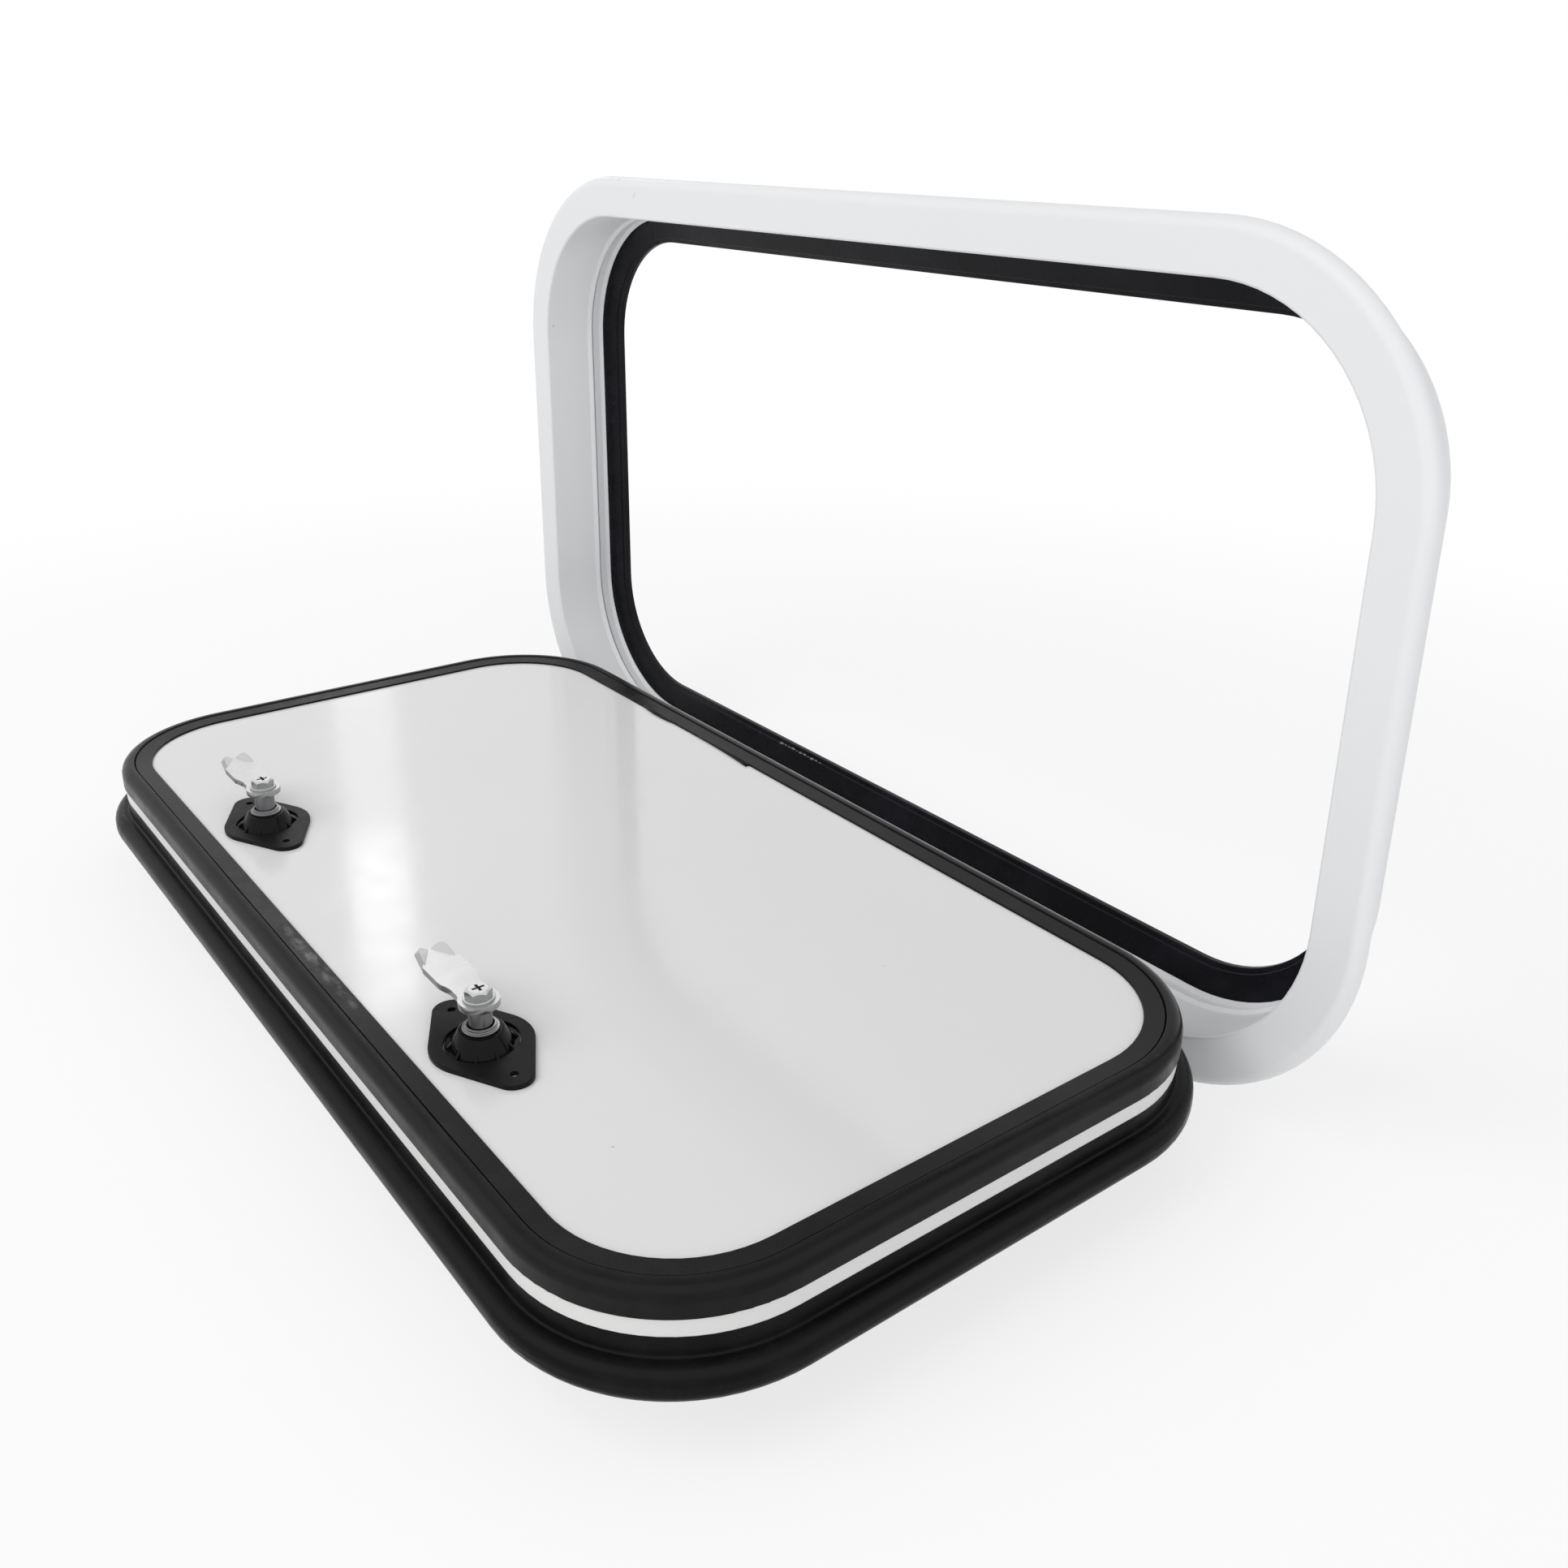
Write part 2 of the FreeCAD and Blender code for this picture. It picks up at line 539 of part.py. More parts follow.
def cam_horn(side):
    """Corner of the blade's end, bent up about the line from the nose to the blade's side edge."""
    half_blade = CAM_BLADE_WIDTH / 2
    root = Vector(-CAM_LENGTH + CAM_HORN_LENGTH, side * half_blade, CAM_BASE)
    nose = Vector(-CAM_LENGTH, side * CAM_NOSE_WIDTH / 2, CAM_BASE)
    tip = (-CAM_LENGTH, side * half_blade, CAM_HORN_ROUND)
    horn = prism([(root.x, root.y, 0), tip, (nose.x, nose.y, 0)], CAM_BASE, CAM_TOP)
    horn.rotate(root, nose - root, -side * CAM_HORN_ANGLE)
    return horn


def cam_eye_and_blade():
    """Flat outline of the cam without its horns: round eye, waist and blade, blended into each other."""
    half_waist = CAM_WAIST_WIDTH / 2
    half_blade = CAM_BLADE_WIDTH / 2
    upper = [(-CAM_WAIST_END, half_waist, CAM_WAIST_BLEND), (-CAM_SHOULDER, half_blade, CAM_WAIST_BLEND),
             (-CAM_LENGTH + CAM_HORN_LENGTH, half_blade, 0), (-CAM_LENGTH, CAM_NOSE_WIDTH / 2, 0)]
    lower = [(x, -y, blend) for x, y, blend in reversed(upper)]
    blade = prism([(0, half_waist, 0)] + upper + lower + [(0, -half_waist, 0)], CAM_BASE, CAM_TOP)
    flat = cylinder(CAM_EYE_RADIUS, CAM_BASE, CAM_TOP).fuse(blade).removeSplitter()
    neck_x = -math.sqrt(CAM_EYE_RADIUS ** 2 - half_waist ** 2)
    necks = [Vector(neck_x, side * half_waist, (CAM_BASE + CAM_TOP) / 2) for side in (-1, 1)]
    corners = []
    for neck in necks:
        corners += [edge for edge in flat.Edges if edge.CenterOfMass.isEqual(neck, SAME_POINT)]
    return flat.makeFillet(CAM_EYE_BLEND, corners)


def latch_cam():
    """Pressed steel cam along -X: round eye, waist, broad blade and a fishtail of two bent-up corners."""
    cam = cam_eye_and_blade().fuse([cam_horn(1), cam_horn(-1)])
    return cam.cut(cylinder(BOLT_RADIUS + BOLT_PLAY, CAM_BASE, CAM_TOP)).removeSplitter()


def cam_bolt():
    """Hexagon bolt with a fixed washer and a cross recess, which clamps the cam to the spindle."""
    head = CAM_TOP + BOLT_WASHER_HEIGHT
    top = head + BOLT_HEAD_HEIGHT
    corner = BOLT_HEAD_FLATS / math.sqrt(3)
    turns = [math.radians(BOLT_HEAD_TURN + 60 * i) for i in range(6)]
    hexagon = [(corner * math.cos(turn), corner * math.sin(turn), 0) for turn in turns]
    crown = turned([(0, head, 0), (corner, head, 0), (corner, top - BOLT_HEAD_CHAMFER, 0),
                    (BOLT_CROWN_RADIUS, top, 0), (0, top, 0)])
    washer = turned([(0, CAM_TOP, 0), (BOLT_WASHER_RADIUS, CAM_TOP, 0),
                     (BOLT_WASHER_RADIUS, head, BOLT_WASHER_ROUND), (0, head, 0)])
    shank = cylinder(BOLT_RADIUS, CAM_BASE - BOLT_LENGTH, CAM_TOP)
    bolt = prism(hexagon, head, top).common(crown).fuse([washer, shank])
    length = BOLT_CROSS_LENGTH / 2
    width = BOLT_CROSS_WIDTH / 2
    floor = top - BOLT_CROSS_DEPTH
    arm = box(-length, length, -width, width, floor, top)
    cross = arm.fuse(arm.rotated(Vector(), Vector(0, 0, 1), 90))
    return bolt.cut(cross).removeSplitter()


def latch_bezel():
    """Round plate of the latch on the outer face."""
    return turned([(SPINDLE_BORE, 0, 0), (SPINDLE_BORE, -BEZEL_THICKNESS, 0),
                   (BEZEL_RADIUS, -BEZEL_THICKNESS, BEZEL_ROUND), (BEZEL_RADIUS, 0, 0)])


def latch_knob():
    """Outside turning knob: a disc with a bar grip, bored for the key plug."""
    disc = turned([(0, KNOB_TOP, 0), (0, KNOB_DISC_LOW, 0),
                   (KNOB_DISC_RADIUS, KNOB_DISC_LOW, KNOB_DISC_ROUND), (KNOB_DISC_RADIUS, KNOB_TOP, 0)])
    straight = (KNOB_GRIP_LENGTH - KNOB_GRIP_WIDTH) / 2
    half = KNOB_GRIP_WIDTH / 2
    grip = box(-straight, straight, -half, half, KNOB_LOW, KNOB_DISC_LOW)
    ends = [cylinder(half, KNOB_LOW, KNOB_DISC_LOW, side * straight) for side in (-1, 1)]
    grip = grip.fuse(ends).removeSplitter()
    rim = [edge for edge in grip.Edges if max(vertex.Z for vertex in edge.Vertexes) < KNOB_DISC_LOW]
    grip = grip.makeFillet(KNOB_GRIP_ROUND, rim)
    pocket = cylinder(KEY_PLUG_RADIUS + KEY_PLUG_PLAY, KNOB_LOW, KNOB_LOW + KEY_PLUG_DEPTH)
    return disc.fuse(grip).cut(pocket).removeSplitter()


def key_plug():
    """Metal lock plug in the end of the grip, with its key slot."""
    low = KNOB_LOW - KEY_PLUG_STAND
    length = KEY_SLOT_LENGTH / 2
    width = KEY_SLOT_WIDTH / 2
    plug = cylinder(KEY_PLUG_RADIUS, low, KNOB_LOW + KEY_PLUG_DEPTH)
    return plug.cut(box(-length, length, -width, width, low, low + KEY_SLOT_DEPTH))


def main():
    core_top = LEAF_THICKNESS - SKIN_THICKNESS
    nodes = {
        "frame_outer_ring": frame_outer_ring(),
        "frame_inner_ring": frame_inner_ring(),
        "frame_seal": frame_seal(),
        "hinge_rail": hinge_rail(),
        "hinge_hook": hinge_hook(),
        "leaf_outer_skin": panel_layer(0, SKIN_THICKNESS),
        "leaf_core": panel_layer(SKIN_THICKNESS, core_top),
        "leaf_inner_skin": panel_layer(core_top, LEAF_THICKNESS),
        "leaf_edge_profile": leaf_edge_profile(),
        "leaf_inner_seal": leaf_inner_seal(),
        "leaf_outer_seal": leaf_outer_seal(),
    }
    latch_pieces = (latch_plate, latch_body, latch_collar, latch_spindle, latch_cam, cam_bolt,
                    latch_bezel, latch_knob, key_plug)
    for side, word in ((-1, "left"), (1, "right")):
        place = Vector(side * LATCH_SPACING / 2, LATCH_Y, 0)
        for make in latch_pieces:
            nodes[f"{make.__name__}_{word}"] = in_leaf(make().translated(place))

    os.makedirs("parts", exist_ok=True)
    for name, shape in nodes.items():
        if len(shape.Solids) != 1 or not shape.isValid():
            print("not one valid solid:", name, len(shape.Solids), shape.isValid())
        shape.exportStep(f"parts/{name}.step")
    print("hinge axis", HINGE_Y, HINGE_Z)
    print("latch axes y", LEAF_CENTRE_Y + LATCH_Y, "cam base z", LEAF_OUTER_Z + CAM_BASE)


main()
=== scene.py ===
"""Looks of the caravan hatch door: finishes, marks, studio light and the camera at the photograph's view.

Lengths are in metres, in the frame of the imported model: X along the hinge, +Y into the vehicle, +Z up.
Names that end in PX hold pixels of the photograph, which is 1932 pixels wide and high.
"""

import json
import math

import bmesh
import bpy
from mathutils import Matrix, Vector
from mathutils.bvhtree import BVHTree


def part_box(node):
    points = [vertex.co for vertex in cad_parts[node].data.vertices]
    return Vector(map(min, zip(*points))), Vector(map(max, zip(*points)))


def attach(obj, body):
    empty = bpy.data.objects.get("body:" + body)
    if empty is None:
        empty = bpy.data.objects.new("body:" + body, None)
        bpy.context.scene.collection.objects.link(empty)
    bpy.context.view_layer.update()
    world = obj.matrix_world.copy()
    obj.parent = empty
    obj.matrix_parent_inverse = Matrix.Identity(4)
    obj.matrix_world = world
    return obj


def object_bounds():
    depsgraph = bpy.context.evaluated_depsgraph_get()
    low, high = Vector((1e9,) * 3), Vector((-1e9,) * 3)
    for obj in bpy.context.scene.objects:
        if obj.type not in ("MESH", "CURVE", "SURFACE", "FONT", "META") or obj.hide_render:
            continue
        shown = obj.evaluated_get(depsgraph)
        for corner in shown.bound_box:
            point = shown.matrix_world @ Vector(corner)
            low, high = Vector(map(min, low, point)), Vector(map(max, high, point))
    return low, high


# Camera at the photograph's view
IMAGE_PX = 1932
FOCAL_PX = 1818.6
PRINCIPAL_PX = (994.5, 857.8)
SENSOR_WIDTH = 36.0
CAMERA_PLACE = Vector((0.63473, -0.52343, 0.41934))
CAMERA_YAW = 51.801
CAMERA_PITCH = 20.868
CAMERA_ROLL = 0.951

# Floor and background
FLOOR_SIZE = 14.0
FLOOR_GAP = 0.0003
FLOOR_WHITE = (0.93, 0.93, 0.93)
FLOOR_SHADE = 0.28
BACKGROUND_WHITE = 1.0
SHADE_NEAR = 0.55
SHADE_FAR = 1.30
SKY_DIFFUSE = 0.62
SKY_TINT = (0.975, 0.985, 1.0)
WHITE = (1.0, 1.0, 1.0)
SEEING_RAYS = ("Is Camera Ray", "Is Glossy Ray", "Is Transmission Ray")

# Large soft lamps, which glossy surfaces don't show
KEY_PLACE = Vector((-0.5, -2.5, 2.5))
KEY_TARGET = Vector((0.0, -0.1, 0.1))
KEY_SIZE = 2.6
KEY_POWER = 51.0
KEY_TINT = (1.0, 0.985, 0.965)
FILL_PLACE = Vector((2.6, -1.1, 0.6))
FILL_TARGET = Vector((-0.2, 0.0, 0.2))
FILL_SIZE = 1.6
FILL_POWER = 20.0

# Narrow lamps to the left, whose reflection is the bright band on the panel
WINDOW_PLACE = Vector((-2.4, 0.60, 1.48))
WINDOW_TARGET = Vector((-0.1, -0.24, 0.055))
WINDOW_WIDTH = 0.13
WINDOW_HEIGHT = 0.42
WINDOW_POWER = 0.54
PANE_PLACE = Vector((-2.4, 0.60, 0.95))
PANE_HEIGHT = 0.6
PANE_POWER = 0.2

# Colours of the finishes, and how much lighter or darker their patterns are
FRAME_WHITE = (0.73, 0.74, 0.755)
PANEL_WHITE = (0.765, 0.759, 0.758)
EDGE_WHITE = (0.69, 0.688, 0.68)
MARK_GREY = (0.30, 0.30, 0.31)
SEAL_BLACK = (0.005, 0.005, 0.007)
EDGE_BLACK = (0.0055, 0.0053, 0.0055)
# Grey of the rubbed lip: partly wear, partly a painted reflection
SCUFF_AND_SHEEN_GREY = (0.15, 0.15, 0.155)
PLATE_BLACK = (0.005, 0.005, 0.0055)
DOME_BLACK = (0.003, 0.003, 0.0035)
GLUE = (0.07, 0.07, 0.072)
# Zinc, collar and spindle steel: a lit colour for faces that look up or down, and a darker painted shade for
# the sides
ZINC_LIT_FACE = (0.65, 0.655, 0.65)
ZINC_SHADED_SIDE = (0.36, 0.365, 0.365)
COLLAR_LIT_FACE = (0.42, 0.42, 0.43)
COLLAR_SHADED_SIDE = (0.20, 0.20, 0.205)
STEEL_LIT_FACE = (0.22, 0.22, 0.225)
STEEL_SHADED_SIDE = (0.17, 0.17, 0.175)
FOAM = (0.75, 0.70, 0.56)
COAT_CLOUD_SHADE = 0.99
PANEL_CLOUD_SHADE = 0.985
# Painted sheen on the rubber: how much lighter its faces that look partly up are painted
CREST_SHEEN_LIGHTER = 2.2
PLASTIC_LIGHTER = 1.8
GLUE_LIGHTER = 3.0
FOAM_CELL_SHADE = 0.8

# Roughness of the finishes, from the smoothest to the roughest places, and how strongly they reflect
FRAME_ROUGHNESS = (0.28, 0.33)
EDGE_ROUGHNESS = (0.32, 0.37)
HINGE_ROUGHNESS = (0.34, 0.39)
PANEL_ROUGHNESS = (0.09, 0.14)
RUBBER_ROUGHNESS = (0.22, 0.31)
PLATE_ROUGHNESS = (0.30, 0.40)
DOME_ROUGHNESS = (0.05, 0.15)
ZINC_ROUGHNESS = (0.27, 0.32)
GLUE_ROUGHNESS = (0.12, 0.30)
FOAM_ROUGHNESS = 0.9
SEAL_GLOSS = 0.13
EDGE_GLOSS = 0.11
OUTER_GLOSS = 0.06
PLATE_GLOSS = 0.10
DOME_GLOSS = 0.13

# Fineness of the patterns in the finishes, per metre
COAT_CLOUDS = 7.0
COAT_UNEVEN = 30.0
COAT_PEEL = 1500.0
PANEL_CLOUDS = 5.0
PANEL_UNEVEN = 40.0
PANEL_WAVES = 12.0
RUBBER_BLOOM = 26.0
RUBBER_SMEAR = 210.0
RUBBER_UNEVEN = 70.0
RUBBER_GRAIN = 1800.0
PLASTIC_CLOUDS = 90.0
PLASTIC_UNEVEN = 160.0
PLASTIC_GRAIN = 2500.0
ZINC_CLOUDS = 90.0
ZINC_UNEVEN = 120.0
FOAM_CELLS = 700.0
GLUE_CLOUDS = 900.0
GLUE_UNEVEN = 500.0
GLUE_GRAIN = 1200.0

# Spans of a pattern's value, or of how far a face looks up, over which a finish changes
UNEVEN_SPAN = (0.3, 0.7)
CLOUD_SPAN = (0.35, 0.70)
ZINC_CLOUD_SPAN = (0.35, 0.75)
BLOOM_SPAN = (0.42, 0.75)
SMEAR_SPAN = (0.42, 0.66)
SMEAR_STRETCH = (0.35, 1.0, 1.0)
MARK_SPAN = (0.05, 0.5)
SCUFF_AND_SHEEN_SPAN = (0.0, 0.7)
# Spans of upward facing over which the rubber's painted sheen comes and goes
CREST_SHEEN_START = (0.45, 0.75)
CREST_SHEEN_END = (0.98, 0.85)
# Span of facing over which zinc goes from the painted side shade to the lit face colour
LIT_FACE_SPAN = (0.40, 0.92)
COAT_MARK_SHARE = 0.55
PANEL_MARK_SHARE = 0.7
ZINC_CLOUD_SHARE = 0.10

# Strength and depth of the patterns that stand out from a surface
COAT_BUMP = (0.02, 0.00005)
PANEL_BUMP = (0.04, 0.001)
RUBBER_BUMP = (0.10, 0.0002)
PLATE_BUMP = (0.15, 0.0001)
DOME_BUMP = (0.03, 0.0001)
FOAM_BUMP = (0.5, 0.0005)
GLUE_BUMP = (0.3, 0.0002)

# Small marks on the white coat and the panel: pixel, then half-sizes along X, Y and Z, then turn about Y
FRAME_MARKS = (((763, 221), (0.0005, 0.002, 0.0016), 0.0), ((781, 241), (0.0005, 0.002, 0.0026), 35.0))
REVEAL_MARK_PX = (682, 402)
REVEAL_MARK_SIZE = (0.0008, 0.0008, 0.0012)
PANEL_MARKS = (((755, 1413), (0.0006, 0.0006, 0.0006), 0.0), ((1090, 1190), (0.0004, 0.0004, 0.0004), 0.0))

# Rubbed places on the flat lip of the leaf's inner rubber, painted lighter grey: partly wear, partly a
# painted reflection of the window band on the lip
SCUFF_AND_SHEEN_PX = ((352, 1146), (368, 1162), (384, 1180), (396, 1194), (408, 1208), (427, 1232))
SCUFF_AND_SHEEN_SIZE = (0.012, 0.0036, 0.004)

# Where the ends of the leaf's inner rubber meet, on the hinge side: a lap that stands out, and a thin black
# strip on the panel beside a lifted lip, put where the lip's edge and the shadow under it show
LAP_FROM_X = -0.098
LAP_TO_X = -0.042
LAP_REACH = 0.0026
CURL_SHADOW_FROM_X = -0.165
CURL_SHADOW_TO_X = -0.124
CURL_SHADOW_REACH = 0.0019
CURL_SHADOW_WIDTH = 0.0007
LIP_SINK = 0.0004
LIP_INSET = 0.0015
LIP_STEPS = 14

# Dried glue on the front of the frame's seal, along its bottom
GLUE_FROM = Vector((-0.112, 0.0433, 0.0260))
GLUE_TO = Vector((-0.070, 0.0433, 0.0260))
GLUE_DROPS = 11
GLUE_SIZE = Vector((0.0016, 0.0009, 0.0005))
GLUE_WANDER = 0.0005
GLUE_SPREAD = 2.3
GLUE_VARIES = 0.4
GLUE_SUBDIVISIONS = 3

# Edge breaks on the metal and plastic pieces of the latches
EDGE_BREAK = {"latch_cam": 0.0006, "cam_bolt": 0.0003, "latch_collar": 0.0003, "latch_spindle": 0.0003,
              "latch_body": 0.0003, "key_plug": 0.0002}
BREAK_ANGLE = 32.0
BREAK_STEPS = 3
SAME_POINT = 0.000001


class Nodes:
    """A node tree with short calls for the nodes that the finishes and the studio share."""

    def __init__(self, tree):
        self.tree = tree

    def node(self, kind, **settings):
        made = self.tree.nodes.new(kind)
        for name, value in settings.items():
            setattr(made, name, value)
        return made

    def feed(self, socket, value):
        """Links another node's output to a socket, or sets the socket to a plain value."""
        if isinstance(value, bpy.types.NodeSocket):
            self.tree.links.new(value, socket)
        elif isinstance(value, tuple) and len(value) == 3 and socket.type == "RGBA":
            socket.default_value = (*value, 1.0)
        else:
            socket.default_value = value

    def maths(self, operation, first, second):
        made = self.node("ShaderNodeMath", operation=operation)
        self.feed(made.inputs[0], first)
        self.feed(made.inputs[1], second)
        return made.outputs[0]

    def seen_or_lighting(self, seen, lighting):
        """One shader for what is seen, also in metal and glass, and another for the light that is given."""
        path = self.node("ShaderNodeLightPath").outputs
        seeing = 0.0
        for kind in SEEING_RAYS:
            seeing = self.maths("MAXIMUM", seeing, path[kind])
        made = self.node("ShaderNodeMixShader")
        self.feed(made.inputs["Fac"], seeing)
        self.feed(made.inputs[1], lighting)
        self.feed(made.inputs[2], seen)
        return made.outputs[0]


class Finish(Nodes):
    """A material, with the place and facing of its surface and the patterns that the finishes are made of."""

    def __init__(self, name):
        self.material = bpy.data.materials.new(name)
        self.material.use_nodes = True
        super().__init__(self.material.node_tree)
        self.shader = self.tree.nodes["Principled BSDF"]
        coordinates = self.node("ShaderNodeTexCoord").outputs
        self.place = coordinates["Object"]
        self.facing = coordinates["Normal"]

    def set(self, **values):
        """Sets inputs of the surface shader; underscores in the names stand for spaces."""
        for name, value in values.items():
            self.feed(self.shader.inputs[name.replace("_", " ")], value)

    def span(self, value, low, high, to_low=0.0, to_high=1.0):
        """Maps low to high smoothly onto another span, clamped."""
        made = self.node("ShaderNodeMapRange", interpolation_type="SMOOTHSTEP")
        self.feed(made.inputs["Value"], value)
        for name, number in (("From Min", low), ("From Max", high), ("To Min", to_low), ("To Max", to_high)):
            made.inputs[name].default_value = number
        return made.outputs["Result"]

    def uneven(self, pattern, roughness):
        """Roughness that wanders with a pattern from the first to the second of two values."""
        return self.span(pattern, *UNEVEN_SPAN, *roughness)

    def part_of(self, vector, axis):
        """One coordinate of a vector."""
        made = self.node("ShaderNodeSeparateXYZ")
        self.feed(made.inputs[0], vector)
        return made.outputs[axis]

    def stretched(self, scale):
        """Place on the part, with each axis scaled."""
        mapping = self.node("ShaderNodeMapping")
        self.feed(mapping.inputs["Vector"], self.place)
        mapping.inputs["Scale"].default_value = scale
        return mapping.outputs["Vector"]

    def noise(self, scale, detail=2.0, roughness=0.5, place=None):
        made = self.node("ShaderNodeTexNoise")
        self.feed(made.inputs["Vector"], place or self.place)
        made.inputs["Scale"].default_value = scale
        made.inputs["Detail"].default_value = detail
        made.inputs["Roughness"].default_value = roughness
        return made.outputs["Fac"]

    def mix(self, share, first, second):
        made = self.node("ShaderNodeMix", data_type="RGBA")
        self.feed(made.inputs["Factor"], share)
        self.feed(made.inputs["A"], first)
        self.feed(made.inputs["B"], second)
        return made.outputs["Result"]

    def mark(self, place, size, turn):
        """One at a place on the part, falling to nothing at an ellipsoid of the given half-sizes round it."""
        mapping = self.node("ShaderNodeMapping", vector_type="TEXTURE")
        self.feed(mapping.inputs["Vector"], self.place)
        mapping.inputs["Location"].default_value = place
        mapping.inputs["Rotation"].default_value = (0.0, math.radians(turn), 0.0)
        mapping.inputs["Scale"].default_value = size
        ball = self.node("ShaderNodeTexGradient", gradient_type="SPHERICAL")
        self.feed(ball.inputs["Vector"], mapping.outputs["Vector"])
        return ball.outputs["Fac"]

    def marks(self, rows):
        """The strongest of several marks, each given as (place, size, turn)."""
        total = 0.0
        for place, size, turn in rows:
            total = self.maths("MAXIMUM", total, self.mark(place, size, turn))
        return total

    def bump(self, height, strength, distance):
        made = self.node("ShaderNodeBump")
        self.feed(made.inputs["Height"], height)
        made.inputs["Strength"].default_value = strength
        made.inputs["Distance"].default_value = distance
        self.feed(self.shader.inputs["Normal"], made.outputs["Normal"])


def shade(colour, share):
    return tuple(channel * share for channel in colour)


def camera_axes():
    """Right, up and ahead of the camera."""
    yaw, pitch, roll = (math.radians(angle) for angle in (CAMERA_YAW, CAMERA_PITCH, CAMERA_ROLL))
    ahead = Vector((-math.sin(yaw) * math.cos(pitch), math.cos(yaw) * math.cos(pitch), -math.sin(pitch)))
    level_right = Vector((math.cos(yaw), math.sin(yaw), 0.0))
    level_up = level_right.cross(ahead)
    right = math.cos(roll) * level_right + math.sin(roll) * level_up
    up = math.cos(roll) * level_up - math.sin(roll) * level_right
    return right, up, ahead


def node_surface(node):
    """Surface of a CAD node, for finding points on it."""
    mesh = frame["nodes"][node].data
    return BVHTree.FromPolygons([v.co for v in mesh.vertices], [p.vertices for p in mesh.polygons])


def seen_at(node, pixel):
    """Point of a CAD node's surface that the camera sees at a pixel."""
    right, up, ahead = camera_axes()
    across = (pixel[0] - PRINCIPAL_PX[0]) / FOCAL_PX
    down = (pixel[1] - PRINCIPAL_PX[1]) / FOCAL_PX
    ray = (ahead + across * right - down * up).normalized()
    return node_surface(node).ray_cast(CAMERA_PLACE, ray)[0]


def painted_white(name, colour, roughness, marks=()):
    """White coat on metal: a faint cloudiness, fine orange peel and a few small grey marks."""
    made = Finish(name)
    cloud = made.span(made.noise(COAT_CLOUDS), *CLOUD_SPAN)
    tone = made.mix(cloud, colour, shade(colour, COAT_CLOUD_SHADE))
    worn = made.span(made.marks(marks), *MARK_SPAN, to_high=COAT_MARK_SHARE)
    made.set(Base_Color=made.mix(worn, tone, MARK_GREY))
    made.set(Roughness=made.uneven(made.noise(COAT_UNEVEN), roughness))
    made.bump(made.noise(COAT_PEEL, detail=1.0), *COAT_BUMP)
    return made.material


def panel_white(name):
    """Smooth glossy sheet with a slight waviness and a dust speck or two."""
    made = Finish(name)
    cloud = made.span(made.noise(PANEL_CLOUDS, detail=3.0), *CLOUD_SPAN)
    tone = made.mix(cloud, PANEL_WHITE, shade(PANEL_WHITE, PANEL_CLOUD_SHADE))
    marks = [(seen_at("leaf_inner_skin", pixel), size, turn) for pixel, size, turn in PANEL_MARKS]
    worn = made.span(made.marks(marks), *MARK_SPAN, to_high=PANEL_MARK_SHARE)
    made.set(Base_Color=made.mix(worn, tone, MARK_GREY))
    made.set(Roughness=made.uneven(made.noise(PANEL_UNEVEN, detail=4.0), PANEL_ROUGHNESS))
    made.bump(made.noise(PANEL_WAVES), *PANEL_BUMP)
    return made.material


def rubber(name, colour, gloss, scuffs_and_sheen=()):
    """Black extruded rubber: a dull bloom, a painted sheen on faces that look partly up, a fine grain, and
    rubbed grey smears that are partly a painted reflection.
    """
    made = Finish(name)
    bloom = made.span(made.noise(RUBBER_BLOOM, detail=5.0, roughness=0.6), *BLOOM_SPAN)
    upward = made.part_of(made.facing, "Z")
    # Painted sheen: faces that look partly up, as on rounded crests, are painted lighter
    crest_sheen = made.maths("MULTIPLY", made.span(upward, *CREST_SHEEN_START), made.span(upward, *CREST_SHEEN_END))
    # tone holds the random bloom and the painted sheen together
    tone = made.mix(made.maths("MAXIMUM", bloom, crest_sheen), colour, shade(colour, CREST_SHEEN_LIGHTER))
    smear = made.noise(RUBBER_SMEAR, detail=6.0, roughness=0.7, place=made.stretched(SMEAR_STRETCH))
    scuffed_and_sheen = made.span(made.marks(scuffs_and_sheen), *SCUFF_AND_SHEEN_SPAN)
    rubbed_and_sheen = made.maths("MULTIPLY", scuffed_and_sheen, made.span(smear, *SMEAR_SPAN))
    # Grey smears over the scuffed places: partly rubbed wear, partly a painted reflection
    made.set(Base_Color=made.mix(rubbed_and_sheen, tone, SCUFF_AND_SHEEN_GREY))
    made.set(Roughness=made.uneven(made.noise(RUBBER_UNEVEN, detail=4.0), RUBBER_ROUGHNESS))
    made.set(Specular_IOR_Level=gloss)
    made.bump(made.noise(RUBBER_GRAIN), *RUBBER_BUMP)
    return made.material


def black_plastic(name, colour, roughness, gloss, grain):
    """Moulded black plastic with a fine grain and a slight cloudiness in its gloss."""
    made = Finish(name)
    cloud = made.noise(PLASTIC_CLOUDS, detail=4.0)
    made.set(Base_Color=made.mix(cloud, colour, shade(colour, PLASTIC_LIGHTER)))
    made.set(Roughness=made.uneven(made.noise(PLASTIC_UNEVEN, detail=3.0), roughness))
    made.set(Specular_IOR_Level=gloss)
    made.bump(made.noise(PLASTIC_GRAIN, detail=1.0), *grain)
    return made.material


